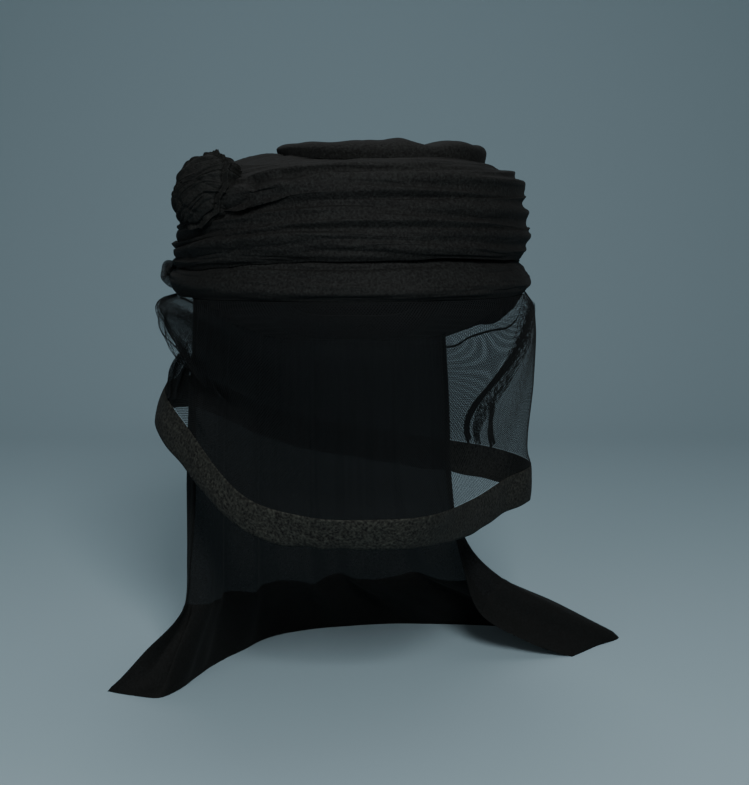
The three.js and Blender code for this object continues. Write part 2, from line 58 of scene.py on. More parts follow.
# The crown's rows from the notch up to the shelf under the tip.
# Columns: height shares at front, right, back and left, out, shift, start of the row's slow wave in turns.
CROWN_ROWS = np.array(
    [
        (0.240, 0.200, -0.170, 0.150, 0.944, -0.006, 0.00),
        (0.300, 0.240, -0.110, 0.170, 0.972, -0.006, 0.05),
        (0.345, 0.270, -0.060, 0.180, 0.982, 0, 0.10),
        (0.380, 0.300, 0.000, 0.205, 0.974, 0, 0.22),
        (0.425, 0.345, 0.060, 0.235, 0.990, 0, 0.55),
        (0.465, 0.385, 0.110, 0.260, 0.980, 0, 0.70),
        (0.505, 0.420, 0.160, 0.290, 0.986, 0, 0.05),
        (0.545, 0.470, 0.220, 0.315, 0.970, 0, 0.30),
        (0.585, 0.515, 0.280, 0.345, 0.972, 0, 0.62),
        (0.630, 0.585, 0.360, 0.375, 0.950, 0, 0.85),
        (0.675, 0.635, 0.430, 0.410, 0.962, 0, 0.20),
        (0.720, 0.680, 0.500, 0.450, 0.952, 0, 0.40),
        (0.765, 0.720, 0.570, 0.500, 0.944, 0, 0.75),
        (0.800, 0.755, 0.640, 0.560, 0.912, 0, 0.95),
        (0.835, 0.790, 0.720, 0.640, 0.878, 0, 0.35),
        (0.862, 0.832, 0.810, 0.780, 0.780, 0.02, 0.00),
        (0.876, 0.855, 0.880, 0.885, 0.650, 0.10, 0.00),
        (0.878, 0.858, 0.885, 0.908, 0.575, 0.15, 0.00),
        (0.876, 0.864, 0.878, 0.885, 0.440, 0.17, 0.00),
    ]
)
FOLD_WANDER = 0.011
# Columns: place, height shares at front, right, back and left, out, shift.
BRIM_PROFILE = np.array(
    [
        (0.0, 0.000, -0.030, -0.520, -0.045, 0.965, 0),
        (0.3, 0.055, 0.050, -0.450, 0.050, 1.000, 0),
        (0.7, 0.170, 0.140, -0.280, 0.120, 0.970, -0.005),
        (1.0, 0.257, 0.204, -0.163, 0.152, 0.926, -0.006),
    ]
)
# Columns: rim angle in degrees, across and along as shares of the half sizes, down, tuck.
NET_EDGE = np.array(
    [
        (0, 0.115, -0.68, 1, 0.5),
        (30, 0.43, -0.58, 1, 0.4),
        (60, 0.69, -0.09, 1.02, 0.1),
        (85, 0.905, 0.305, 0.995, 0.05),
        (110, 1.1, 0.65, 0.975, 0),
        (135, 0.92, 1.05, 0.96, 0),
        (160, 0.5, 1.26, 0.93, 0),
        (185, -0.04, 1.31, 0.865, 0),
        (210, -0.54, 1.15, 0.745, 0),
        (235, -0.955, 0.86, 0.535, -0.3),
        (258, -1.115, 0.37, 0.53, -0.35),
        (285, -0.915, -0.06, 0.69, -0.2),
        (315, -0.585, -0.46, 0.93, 0.1),
        (340, -0.215, -0.65, 0.995, 0.45),
    ]
)
NET_EDGE = np.concatenate([NET_EDGE[-3:] - [360, 0, 0, 0, 0], NET_EDGE, NET_EDGE[:3] + [360, 0, 0, 0, 0]])
# Columns: way down, swell all round, more swell at the left.
NET_SWELL = np.array(
    [
        (0.00, 0.000, 0.000),
        (0.07, 0.055, 0.043),
        (0.19, 0.080, -0.011),
        (0.27, 0.083, -0.025),
        (0.37, 0.078, -0.063),
        (0.46, 0.070, -0.101),
        (0.53, 0.062, -0.134),
        (0.65, 0.040, -0.072),
        (0.80, 0.008, -0.017),
        (0.92, -0.010, 0.000),
        (1.00, 0.000, 0.000),
    ]
)
# Columns: place on the veil's width, across and along as shares of its spread, lies, soon.
VEIL_EDGE = np.array(
    [
        (0, -0.84, 0.1, 0, 0),
        (0.042, -0.75, 0.057, 0, 0),
        (0.083, -0.65, 0.037, 0, 0),
        (0.133, -0.585, 0.138, 0, 0),
        (0.19, -0.537, 0.268, 0, 0),
        (0.277, -0.44, 0.455, 0, 0),
        (0.369, -0.317, 0.642, 0, 0),
        (0.462, -0.114, 0.748, 0, 0),
        (0.56, 0.13, 0.79, 0, 0),
        (0.65, 0.36, 0.79, 0, 0),
        (0.735, 0.58, 0.76, 0, 0.3),
        (0.815, 0.79, 0.71, 0, 0.8),
        (0.89, 1, 0.645, 0, 1),
        (0.945, 0.9, 0.54, 0, 1),
        (1, 0.797, 0.43, 0.6, 0.4),
    ]
)
# Columns: way down, plain drop, flat drop, reach, what is added where it spreads sooner, fold.
VEIL_FALL = np.array(
    [
        (0, 0, 0, 0, 0, 0.3),
        (0.12, 0.18, 0.2, 0.03, 0, 0.7),
        (0.3, 0.42, 0.47, 0.055, 0, 1),
        (0.48, 0.66, 0.74, 0.12, 0.06, 1),
        (0.6, 0.79, 0.9, 0.215, 0.16, 0.9),
        (0.72, 0.895, 0.985, 0.6, 0.08, 0.75),
        (0.86, 0.965, 1, 0.85, 0.03, 0.5),
        (1, 1, 1, 1, 0, 0.1),
    ]
)


# Numbers


def along(table, column, x):
    """Smooth line through one column at places x of the first: on each span
    v0(1+2t)(1-t)² + m0 t(1-t)² + v1 t²(3-2t) - m1 t²(1-t)."""
    places, values = table[:, 0], table[:, column]
    i = np.clip(np.searchsorted(places, x, side="right") - 1, 0, len(places) - 2)
    before, after = np.maximum(i - 1, 0), np.minimum(i + 2, len(places) - 1)
    span = places[i + 1] - places[i]
    t = (x - places[i]) / span
    m0 = span * (values[i + 1] - values[before]) / (places[i + 1] - places[before])
    m1 = span * (values[after] - values[i]) / (places[after] - places[i])
    rest = 1 - t
    low = values[i] * (1 + 2 * t) * rest**2 + m0 * t * rest**2
    return low + values[i + 1] * t**2 * (3 - 2 * t) - m1 * t**2 * rest


def ripple(u, v, seed, around, down, count=9):
    """Smooth seeded waviness from about -1 to 1: the sum of count sines, each with a whole number of waves round u
    (one turn) and some along v, over the root of half their count."""
    rng = np.random.default_rng(seed)
    total = 0
    for _ in range(count):
        k, l = rng.integers(-around, around + 1), rng.uniform(-down, down)
        total = total + np.sin(TURN * (k * u + l * v + rng.random()))
    return total / np.sqrt(count / 2)


NOISE_REPEAT = 101
# About the mean of |noise| to a power near one.
MEAN_FOLD = 0.42


def noise(x, y, seed, around=97):
    """Smooth seeded noise from -1 to 1 on a plane: a random value at each whole place, blended between them by
    t²(3-2t). It repeats after `around` in x and after NOISE_REPEAT in y."""
    table = np.random.default_rng(seed).uniform(-1, 1, (around, NOISE_REPEAT))
    i, j = np.floor(x).astype(int), np.floor(y).astype(int)
    s, t = x - i, y - j
    s, t = s * s * (3 - 2 * s), t * t * (3 - 2 * t)
    i, j, right, above = i % around, j % NOISE_REPEAT, (i + 1) % around, (j + 1) % NOISE_REPEAT
    low = table[i, j] * (1 - s) + table[right, j] * s
    high = table[i, above] * (1 - s) + table[right, above] * s
    return low * (1 - t) + high * t


def creases(x, y, seed, around=97, sharp=0.8):
    """Cloth folds of uneven length that part in sharp valleys where the noise is nought: |noise| to a power, less
    its mean."""
    return np.abs(noise(x, y, seed, around)) ** sharp - MEAN_FOLD


def crease(x, sharp=0.6):
    """Folds side by side, each from one whole number to the next: |sin πx| to a power, so that they part in sharp
    creases."""
    return np.abs(np.sin(np.pi * x)) ** sharp


def unit(v):
    return v / np.maximum(np.linalg.norm(v, axis=-1, keepdims=True), 1e-12)


def point(x, y, z):
    return np.stack(np.broadcast_arrays(x, y, z), axis=-1).astype(float)


def on(surface, u, v, step=1e-3):
    """A surface's points and outward unit normals: the cross product of its steps along u and v."""
    along_u = surface(u + step, v) - surface(u - step, v)
    along_v = surface(u, v + step) - surface(u, v - step)
    return surface(u, v), unit(np.cross(along_u, along_v))


# Meshes


def mesh_of(name, points, faces, material, smooth=True):
    """One object from points in mm and faces of four corners, at the origin and not turned or scaled."""
    faces = np.asarray(faces, np.int32).reshape(-1, 4)
    me = bpy.data.meshes.new(name)
    me.vertices.add(len(points))
    me.vertices.foreach_set("co", (np.asarray(points, np.float32) * 0.001).ravel())
    me.loops.add(faces.size)
    me.loops.foreach_set("vertex_index", faces.ravel())
    me.polygons.add(len(faces))
    me.polygons.foreach_set("loop_start", np.arange(0, faces.size, 4, dtype=np.int32))
    me.polygons.foreach_set("loop_total", np.full(len(faces), 4, np.int32))
    me.polygons.foreach_set("use_smooth", np.full(len(faces), smooth))
    me.update(calc_edges=True)
    me.validate()
    me.materials.append(material)
    ob = bpy.data.objects.new(name, me)
    bpy.context.scene.collection.objects.link(ob)
    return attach(ob, "root") or ob


def grid_faces(rows, columns, loop_columns=False, loop_rows=False):
    """Corners of the quads of a grid, row by row. Looped, the last row or column joins the first."""
    i = np.arange(columns if loop_columns else columns - 1)
    j = np.arange(rows if loop_rows else rows - 1)
    j, i = np.meshgrid(j, i, indexing="ij")
    k, m = (i + 1) % columns, (j + 1) % rows
    corners = [j * columns + i, j * columns + k, m * columns + k, m * columns + i]
    return np.stack([c.ravel() for c in corners], axis=-1)


def join(*parts):
    """Several (points, faces) as one."""
    points, faces, start = [], [], 0
    for p, f in parts:
        points.append(p.reshape(-1, 3))
        faces.append(f + start)
        start += len(points[-1])
    return np.concatenate(points), np.concatenate(faces)


def ribbons(line, side, width):
    """Flat ribbons along lines of points: line and side have the shape (threads, steps, 3)."""
    threads, steps = line.shape[:2]
    p = np.stack([line + side * width / 2, line - side * width / 2], axis=2)
    base = (np.arange(threads) * steps)[:, None] + np.arange(steps - 1)
    faces = np.stack([2 * base, 2 * base + 1, 2 * base + 3, 2 * base + 2], axis=-1)
    return p.reshape(-1, 3), faces.reshape(-1, 4)


# A thread's standing ribbon as a share of the width of its lying one.
THREAD_STANDS = 0.35


def net(surface, threads, lean, steps, width, u=(0, 1), v=(0, 1)):
    """Two crossing families of threads on a surface: thread k runs from (uk, v0) to (uk + lean, v1), and the other
    family leans the other way. Each thread is a ribbon that lies in the cloth, crossed by a narrower one that stands
    on it."""
    down = np.linspace(v[0], v[1], steps)[None, :]
    parts = []
    for way in (1, -1):
        start = np.linspace(u[0], u[1], threads, endpoint=False)[:, None]
        line, normal = on(surface, start + way * lean * (down - v[0]) / (v[1] - v[0]), down + 0 * start)
        run = unit(np.gradient(line, axis=1))
        side = unit(np.cross(run, normal))
        parts += [ribbons(line, side, width), ribbons(line, unit(np.cross(side, run)), THREAD_STANDS * width)]
    return join(*parts)


# Materials


def srgb(code):
    """A colour like "1a1a1a" as the linear values that a shader takes."""
    c = np.array([int(code[i : i + 2], 16) / 255 for i in (0, 2, 4)])
    linear = np.where(c <= 0.04045, c / 12.92, ((c + 0.055) / 1.055) ** 2.4)
    return (*[float(x) for x in linear], 1.0)


def add(tree, kind, inputs=(), **settings):
    """A shader node with its settings and inputs; an input is a value or another node's output."""
    node = tree.nodes.new("ShaderNode" + kind)
    for key, value in settings.items():
        setattr(node, key, value)
    for key, value in dict(inputs).items():
        if isinstance(value, bpy.types.NodeSocket):
            tree.links.new(value, node.inputs[key])
        else:
            node.inputs[key].default_value = value
    return node


PATCH_MM = 22.0


def cloth_material(name, dark, light, crimp_mm, relief_mm, sheen, alpha=1.0, painted_grazing_shade=1.0):
    """Crimped silk crape: its crinkle is a cell pattern of crimp_mm with a finer grain over it, as relief and as
    colour between dark and light: lighter where the crinkle stands high and darker in its hollows, painted highlight
    and painted shade, and patches of PATCH_MM vary the colour a little. Towards grazing angles the colour is painted
    darker, down to the given share of its light tone: painted shade for the crimps that hide their own sides from
    the light."""
    m = bpy.data.materials.new(name)
    m.use_nodes = True
    tree = m.node_tree
    tree.nodes.clear()
    place = add(tree, "TexCoord").outputs["Object"]
    cells = {"Vector": place, "Scale": 1000 / crimp_mm, "Randomness": 1.0, "Smoothness": 0.6}
    crimp = add(tree, "TexVoronoi", cells, feature="SMOOTH_F1")
    fine = {"Vector": place, "Scale": 1000 / (crimp_mm * 0.9), "Detail": 3.0, "Roughness": 0.65}
    grain = add(tree, "TexNoise", fine)
    patch = add(tree, "TexNoise", {"Vector": place, "Scale": 1000 / PATCH_MM, "Detail": 2.0})
    relief = add(tree, "Math", {0: crimp.outputs["Distance"], 1: grain.outputs["Fac"]}, operation="MULTIPLY")
    both = add(tree, "Math", {0: relief.outputs[0], 1: grain.outputs["Fac"]}, operation="ADD")
    shade = add(tree, "MapRange", {"Value": patch.outputs["Fac"], "To Min": 0.42, "To Max": 0.58})
    # Painted shade and highlight: the colour follows the crinkle's height, darker in its hollows and lighter on its
    # crests; the patches vary the tone at random.
    tone = add(tree, "Math", {0: both.outputs[0], 1: shade.outputs["Result"]}, operation="MULTIPLY")
    level = add(tree, "MapRange", {"Value": tone.outputs[0], "From Min": 0.24, "From Max": 0.54})
    # Painted shade: the colour is darkened towards grazing angles, down to the given share of its light tone.
    facing = add(tree, "LayerWeight", {"Blend": 0.5}).outputs["Facing"]
    slant = {"Value": facing, "From Min": 0.3, "From Max": 0.95, "To Min": 1.0, "To Max": painted_grazing_shade}
    left = add(tree, "MapRange", slant)
    level_with_painted_shade = add(tree, "Math", {0: level.outputs["Result"], 1: left.outputs["Result"]}, operation="MULTIPLY")
    colour = add(tree, "ValToRGB", {"Fac": level_with_painted_shade.outputs[0]})
    colour.color_ramp.elements[0].color = srgb(dark)
    colour.color_ramp.elements[1].color = srgb(light)
    bump = add(tree, "Bump", {"Height": both.outputs[0], "Strength": 0.7, "Distance": relief_mm * 0.001})
    shader = add(
        tree,
        "BsdfPrincipled",
        {
            "Base Color": colour.outputs["Color"],
            "Normal": bump.outputs["Normal"],
            "Roughness": 0.82,
            "Specular IOR Level": 0.18,
            "Sheen Weight": sheen,
            "Sheen Roughness": 0.45,
            "Sheen Tint": srgb("8a8c88"),
            "Alpha": alpha,
        },
    )
    add(tree, "OutputMaterial", {"Surface": shader.outputs["BSDF"]})
    return m


# Columns: name, dark and light tone, crimp and relief in mm, sheen, and where given the opacity and the share of the
# light tone left in painted shade at grazing angles.
CRAPE = cloth_material("black_crimped_crape", "010101", "161817", 1.9, 0.6, 0.03, painted_grazing_shade=0.25)
ROSETTE_CRAPE = cloth_material("ruched_black_crape", "010201", "131514", 1.5, 0.45, 0.03, painted_grazing_shade=0.4)
BORDER_CRAPE = cloth_material("faded_black_border_crape", "050505", "30322d", 2.3, 0.9, 0.05, painted_grazing_shade=0.35)
VEIL_CRAPE = cloth_material("sheer_black_veil_crape", "020303", "0d0f10", 1.6, 0.4, 0.03, alpha=0.966)
HEM_CRAPE = cloth_material("double_black_hem_crape", "010201", "0b0d0d", 1.7, 0.5, 0.04)
NET_THREAD = cloth_material("black_net_thread", "060708", "14181a", 0.6, 0.05, 0.1)


# Hat


def blend_sides(table, place, angle):
    """Height share at an angle: the front or back value where the side's share is 0, the right or left value where
    it is 1. That share is sin² ahead and sin⁴ behind."""
    ahead, aside = np.cos(angle), np.sin(angle)
    side = np.where(ahead > 0, aside**2, aside**4)
    long = np.where(ahead > 0, along(table, 1, place), along(table, 3, place))
    cross = np.where(aside > 0, along(table, 2, place), along(table, 4, place))
    return (1 - side) * long + side * cross


def on_hat(table, turn, place, let_out=0.0, lift=0.0):
    """A point of the hat's outside: an oval of the half sizes times out, at the blended height. A slow wave of three
    to a turn sways out and height together, in the tables that say where it starts."""
    angle = TURN * turn
    wave = FOLD_WANDER * np.sin(3 * angle + TURN * along(table, 7, place)) if table.shape[1] > 7 else 0
    out, shift = along(table, 5, place) + wave, along(table, 6, place)
    height = RIM_FRONT + CROWN_HEIGHT * (blend_sides(table, place, angle) + wave) + lift
    x = (HALF_WIDTH * out + let_out) * np.sin(angle) + HALF_WIDTH * shift
    return point(x, -(HALF_DEPTH * out + let_out) * np.cos(angle), height)


ROSETTE_AT = -0.9 / TURN
ROSETTE_WIDTH, ROSETTE_HEIGHT, ROSETTE_DEPTH = 60.0, 54.0, 48.0
ROSETTE_SEAT, ROSETTE_SHARE = 0.92, 0.66

# The crown's profile with its length in mm from the notch as the first column.
CROWN_STEPS = np.hypot(np.diff(CROWN_ROWS[:, 0]) * CROWN_HEIGHT, np.diff(CROWN_ROWS[:, 4]) * HALF_DEPTH)
CROWN_PROFILE = np.column_stack([np.concatenate([[0], np.cumsum(CROWN_STEPS)]), CROWN_ROWS])
CROWN_LENGTH = CROWN_PROFILE[-1, 0]
SHOULDER = CROWN_PROFILE[15, 0]
ROSETTE_PLACE = float(np.interp(ROSETTE_SHARE, CROWN_ROWS[:, 0], CROWN_PROFILE[:, 0]))

# Soft puffs of the crown beside and below the rosette.
# Columns: turn, place, how far the puff stands out, half its length round the crown and half its height, in mm.
CROWN_PUFFS = (
    (-0.105, 62.0, 4.2, 17.0, 10.0),
    (-0.066, 64.0, 1.8, 14.0, 6.5),
    (-0.132, 20.0, 2.2, 30.0, 8.0),
)
# Long single folds. A place is a length in mm up the crown's profile, from the notch.
# Columns: turn and place where each starts, the same where it ends, how far it stands out, and its width, in mm.
LONG_FOLDS = (
    (-0.115, 44, -0.045, 56, -2.6, 5.0),
    (-0.110, 53, -0.055, 60, -2.2, 4.0),
    (-0.075, 58, 0.000, 66, 1.5, 3.2),
    (-0.030, 60, 0.060, 61, 1.3, 3.0),
    (-0.130, 14, -0.030, 20, 1.5, 4.0),
    (-0.020, 16, 0.110, 13, -1.6, 4.5),
    (-0.040, 9, 0.050, 7, -1.2, 3.5),
    (-0.070, 70, 0.120, 73, -1.6, 4.5),
    (0.060, 33, 0.200, 30, -1.4, 4.0),
    (0.020, 42, 0.180, 41, 1.2, 4.0),
)
# How far from the rosette its gathers reach round the crown, over how much of the shelf the folds lie down, how far
# the wall's inside lies in from the plain profile and how far its top lies below the shelf, in mm.
GATHER_REACH, SHELF_REACH, INSIDE_IN, INSIDE_DOWN = 62, 12, 4.5, 2.8
# How far the crown's lower edge stands out over the notch, as a share of the hat's half size, and the rows over which
# its unevenness dies out.
EDGE_OUT, EDGE_ROWS = 0.012, 9
# The rows of the profile that the wall's inside follows, from the top down.
INSIDE_ROWS = [18, 16, 15, 13, 9, 5, 1]


def crown_relief(turn, place):
    """How far the crown's cloth stands off its plain profile, in mm: uneven folds of three sizes that run round it
    and draw together at the rosette, with a few long folds and puffs of their own. The folds are half as deep at the
    two sides, and lie flat at the shelf."""
    round_mm = TURN * HALF_WIDTH
    beside = (np.mod(turn - ROSETTE_AT + 0.5, 1) - 0.5) * round_mm
    near = np.exp(-((beside / GATHER_REACH) ** 2))
    drawn = ROSETTE_PLACE + (place - ROSETTE_PLACE) * (1 + 0.6 * near)
    drawn = drawn + 7.5 * noise(turn * 6, place / 45, 3, 6) + 2.6 * noise(turn * 15, place / 17, 5, 15)
    wide = 1.7 * creases(turn * 9, drawn / 12.5, 7, 9, 0.8)
    middle = 1.4 * creases(turn * 14, drawn / 5.2, 9, 14, 0.9)
    middle = middle * (0.75 + 0.5 * noise(turn * 5, place / 22, 10, 5))
    fine = 0.85 * creases(turn * 26, drawn / 2.2, 11, 26, 0.9)
    fine = fine * (0.7 + 0.6 * noise(turn * 9, place / 17, 12, 9))
    total = (wide + middle + fine) * (1 - 0.5 * np.abs(np.sin(TURN * turn)) ** 6)
    for start, low, end, high, stand, width in LONG_FOLDS:
        share = (turn - start) / (end - start)
        off = place - (low + (high - low) * share) - 1.5 * noise(turn * 40, place * 0, 13)
        ends = np.clip(np.minimum(share, 1 - share) * 4, 0, 1)
        total = total + stand * np.exp(-((off / width) ** 2)) * ends * (3 - 2 * ends) * ends
    for at, up, stand, length, height in CROWN_PUFFS:
        away = np.hypot((turn - at) * round_mm / length, (place - up) / height)
        total = total + stand * np.clip(1 - away**2, 0, 1) ** 0.75
        total = total - 0.2 * stand * np.exp(-(((away - 1.1) / 0.2) ** 2))
    return total * np.clip((CROWN_LENGTH - place) / SHELF_REACH, 0.1, 1)


def crown_outside(turn, place):
    """The swathed crown: its plain profile with the slow wave of each row, let out by the relief."""
    base, out = on(lambda u, v: on_hat(CROWN_PROFILE, u, v), turn, place)
    return base + out * crown_relief(np.mod(turn + 0.5, 1) - 0.5, place)[..., None]


def crown():
    """Draped crown: its outside, with an uneven lower edge that laps over the brim's notch, and inside it a plain
    wall that follows it."""
    columns, side_rows, top_rows = 560, 134, 16
    turn = np.arange(columns)[None, :] / columns
    side_places = np.linspace(0, SHOULDER + 6, side_rows)
    top_places = np.linspace(SHOULDER + 7, CROWN_LENGTH, top_rows)
    place = np.concatenate([side_places, top_places])[:, None]
    outside = crown_outside(turn + 0 * place, place + 0 * turn)
    outside[0] += on_hat(BRIM_PROFILE, turn, 0.9 + 0 * turn)[0] * [EDGE_OUT, EDGE_OUT, 0]
    uneven = 1.8 * noise(turn * 13, 0 * turn, 15, 13) + 0.8 * noise(turn * 37, 0 * turn, 16, 37)
    outside[:EDGE_ROWS, :, 2] += uneven * np.linspace(1, 0, EDGE_ROWS)[:, None]
    inner_place = CROWN_PROFILE[INSIDE_ROWS, 0][:, None]
    inside = on_hat(CROWN_PROFILE, turn + 0 * inner_place, inner_place + 0 * turn, -INSIDE_IN)
    inside[:3] -= [0, 0, INSIDE_DOWN]
    rings = np.concatenate([outside, inside])
    ob = mesh_of("draped_crown", rings.reshape(-1, 3), grid_faces(len(rings), columns, True, True), CRAPE)
    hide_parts("crown_drapery")


def brim_outside(turn, place):
    """The band below the folds, with shallow wrinkles that run round it and a slightly uneven edge."""
    base, out = on(lambda u, v: on_hat(BRIM_PROFILE, u, v), turn, place)
    sway = place + 0.12 * noise(turn * 9, place * 2, 21, 9)
    wide = 1.9 * creases(turn * 8, sway * 3.1, 22, 8)
    middle = 1.4 * creases(turn * 13, sway * 6.5, 23, 13)
    relief = wide + middle + 0.8 * creases(turn * 26, sway * 13, 24, 26)
    relief = relief * np.clip(np.minimum(place + 0.04, 1 - place) * 7, 0, 1)
    edge = 0.7 * noise(turn * 23, 0 * turn, 25, 23) * np.clip(1 - place * 5, 0, 1)
    return base + out * relief[..., None] + edge[..., None] * [0, 0, 1]
# Puckers of the underbrim in a turn, and their depth in mm.
PUCKERS, PUCKER_DEPTH = 58, 0.9


def brim():
    """Brim: its outside, the underbrim puckered towards the head, and the collar round the head opening."""
    columns, side_rows, under_rows = 480, 56, 14
    turn = np.arange(columns)[None, :] / columns
    angle = TURN * turn
    up = np.linspace(1, 0, side_rows)[:, None]
    outside = brim_outside(turn + 0 * up, up + 0 * turn)
    edge = on_hat(BRIM_PROFILE, turn, np.zeros_like(turn))[0]
    foot = point(HEAD_WIDTH / 2 * np.sin(angle), -HEAD_LENGTH / 2 * np.cos(angle), 0)[0]
    foot[:, 2] = edge[:, 2] + COLLAR_RISE
    share = np.linspace(0.04, 1, under_rows)[:, None, None]
    under = edge + (foot - edge) * share
    puckers = crease(PUCKERS * turn + 1.5 * ripple(turn, 0 * turn, 27, 5, 0), 1)
    under[..., 2] -= puckers * np.sin(np.pi * share[..., 0]) * PUCKER_DEPTH
    rise = np.array([0.15, 0.5, 0.9, 1.0])[:, None, None]
    collar = foot + rise * np.array([0, 0, COLLAR_HEIGHT])
    away = unit(foot * [1, 1, 0])
    back = foot + away * WALL + np.array([1.0, 0.5, 0.12])[:, None, None] * np.array([0, 0, COLLAR_HEIGHT])
    inner_edge = edge * [0.98, 0.98, 1] + [0, 0, WALL]
    inner = [on_hat(BRIM_PROFILE, turn, np.full_like(turn, at), -WALL)[0] for at in (0.3, 0.7, 1.0)]
    rings = np.concatenate([outside, under, collar, back, np.stack([inner_edge, *inner])])
    ob = mesh_of("crape_brim", rings.reshape(-1, 3), grid_faces(len(rings), columns, True, True), CRAPE)
    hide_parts("brim")


# Columns: place, out as a share of the tip's half size, height share of the crown, share of the tilt.
TIP_PROFILE = np.array(
    [
        (0.00, 0.0005, 0.992, 0),
        (0.40, 0.500, 0.990, 0),
        (0.68, 0.830, 0.984, 0),
        (0.79, 0.940, 0.972, 0.1),
        (0.87, 0.990, 0.950, 0.3),
        (0.93, 1.000, 0.920, 0.6),
        (1.00, 0.985, 0.862, 1),
    ]
)
# How far the tip leans to the right, in mm, and its inside as a share of its outside.
TIP_TILT, TIP_INSIDE = 2.8, 0.975
# Folds across the top.
# Columns: distance right of the middle, how far each stands up, half its width, in mm.
TIP_FOLDS = (
    (-30, 0.9, 9),
    (4, 1.4, 12),
    (29, 2.6, 10),
    (53, -2.6, 9),
    (74, 1.6, 11),
    (92, -1.0, 7),
)


def tip_point(turn, place):
    """The crown's top: a shallow pan upturned that leans to the right, with folds across it and a soft uneven
    side."""
    angle = TURN * turn
    out = along(TIP_PROFILE, 1, place)
    side = np.clip((place - 0.6) / 0.4, 0, 1)
    relief = 1.3 * creases(turn * 7, place * 5.5, 31, 7) + 0.8 * creases(turn * 13, place * 13, 32, 13)
    relief = relief * side * np.clip((1.02 - place) * 9, 0, 1)
    out = out + relief / (TIP_WIDTH / 2)
    x = HALF_WIDTH * TIP_SHIFT + TIP_WIDTH / 2 * out * np.sin(angle)
    y = -TIP_DEPTH / 2 * out * np.cos(angle)
    tilt = TIP_TILT * np.sin(angle) * along(TIP_PROFILE, 3, place)
    height = RIM_FRONT + CROWN_HEIGHT * along(TIP_PROFILE, 2, place) - tilt
    for at, stand, width in TIP_FOLDS:
        height = height + stand * np.exp(-(((x + 0.12 * y - at) / width) ** 2)) * (1 - side)
    return point(x, y, height + 0.9 * creases(x / 17 + 4, (y + 0.2 * x) / 60 + 4, 33) * (1 - side))


def crown_top():
    """Crown tip with a wall's thickness under it."""
    columns, rows = 300, 90
    turn = np.arange(columns)[None, :] / columns
    place = np.linspace(0.0, 1, rows)[:, None]
    outside = tip_point(turn + 0 * place, place + 0 * turn)
    inner = outside[::-8] * [TIP_INSIDE, TIP_INSIDE, 1] + [HALF_WIDTH * TIP_SHIFT * (1 - TIP_INSIDE), 0, 0]
    inner[..., 2] = np.minimum(inner[..., 2], outside[0, 0, 2]) - WALL
    inner[0, :, 2] = outside[-1, :, 2]
    rings = np.concatenate([outside, inner])
    ob = mesh_of("crown_top", rings.reshape(-1, 3), grid_faces(len(rings), columns, True, True), CRAPE)
    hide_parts("crown_tip")


def rosette():
    """The ruched puff: a dome whose cloth is gathered into fine uneven ribs, which run from lower left to upper
    right, and drawn in here and there, with a rolled edge along its foot."""
    angle = TURN * ROSETTE_AT
    across, ahead = HALF_WIDTH * ROSETTE_SEAT * np.sin(angle), -HALF_DEPTH * ROSETTE_SEAT * np.cos(angle)
    centre = np.array([across, ahead, RIM_FRONT + CROWN_HEIGHT * ROSETTE_SHARE])
    out = unit(point(np.sin(angle), -np.cos(angle), 0.32))
    first = np.array([0.78, -0.42, 0.52])
    first = unit(first - out * (first @ out))
    second = np.cross(out, first)
    columns, rows = 420, 190
    turn = np.arange(columns)[None, :] / columns
    tilt = np.linspace(0.02, np.pi * 0.62, rows)[:, None]
    a = ROSETTE_WIDTH / 2 * np.sin(tilt) * np.cos(TURN * turn)
    b = ROSETTE_HEIGHT / 2 * np.sin(tilt) * np.sin(TURN * turn)
    c = ROSETTE_DEPTH / 2 * np.cos(tilt) + 0 * turn
    bend = b + 3 * noise(a / 13 + 20, b / 13 + 20, 40)
    ribs = 2.6 * creases(a / 21 + 20, bend / 1.9 + 20, 41, sharp=0.9)
    nips = 1.2 * creases(a / 6.5 + 20 + 0.1 * b, bend / 6.5 + 20, 42)
    lumps = 1.5 * creases(a / 17 + 20, b / 10 + 20, 43, sharp=1)
    # The tilt where the rolled edge runs round the foot.
    foot = 1.36 + 0.05 * np.sin(9 * TURN * turn) + 0.03 * np.sin(4 * TURN * turn + 1)
    edge = 2.4 * np.exp(-(((tilt - foot) / 0.035) ** 2)) - 2.0 * np.exp(-(((tilt - foot + 0.11) / 0.05) ** 2))
    frill = 1.6 * noise(turn * 31, tilt * 2.2, 44, 31) * np.clip(np.sin(tilt) ** 8, 0, 1)
    away = unit(point(a / ROSETTE_WIDTH**2, b / ROSETTE_HEIGHT**2, c / ROSETTE_DEPTH**2))
    p = point(a, b, c) + away * (ribs + nips + lumps + edge + frill)[..., None]
    p = centre + p[..., :1] * first + p[..., 1:2] * second + p[..., 2:] * out
    ob = mesh_of("ruched_rosette", p.reshape(-1, 3), grid_faces(rows, columns, True), ROSETTE_CRAPE)
    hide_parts("rosette")


# Net


# Widths of a thread of the net, and of the finer ones in its puff, in mm.
NET_THREAD_WIDTH, PUFF_THREAD_WIDTH = 0.46, 0.4
# Turns where the surplus net begins and ends, and its lowest way down.
SURPLUS_SPAN, SURPLUS_FOOT = (0.655, 0.79), 0.62


def net_edge(turn):
    """The net's lower edge, where its border begins."""
    degrees = np.mod(turn, 1) * 360
    return point(
        HALF_WIDTH * along(NET_EDGE, 1, degrees),
        HALF_DEPTH * along(NET_EDGE, 2, degrees),
        RIM_FRONT - NET_DROP * along(NET_EDGE, 3, degrees),
    )


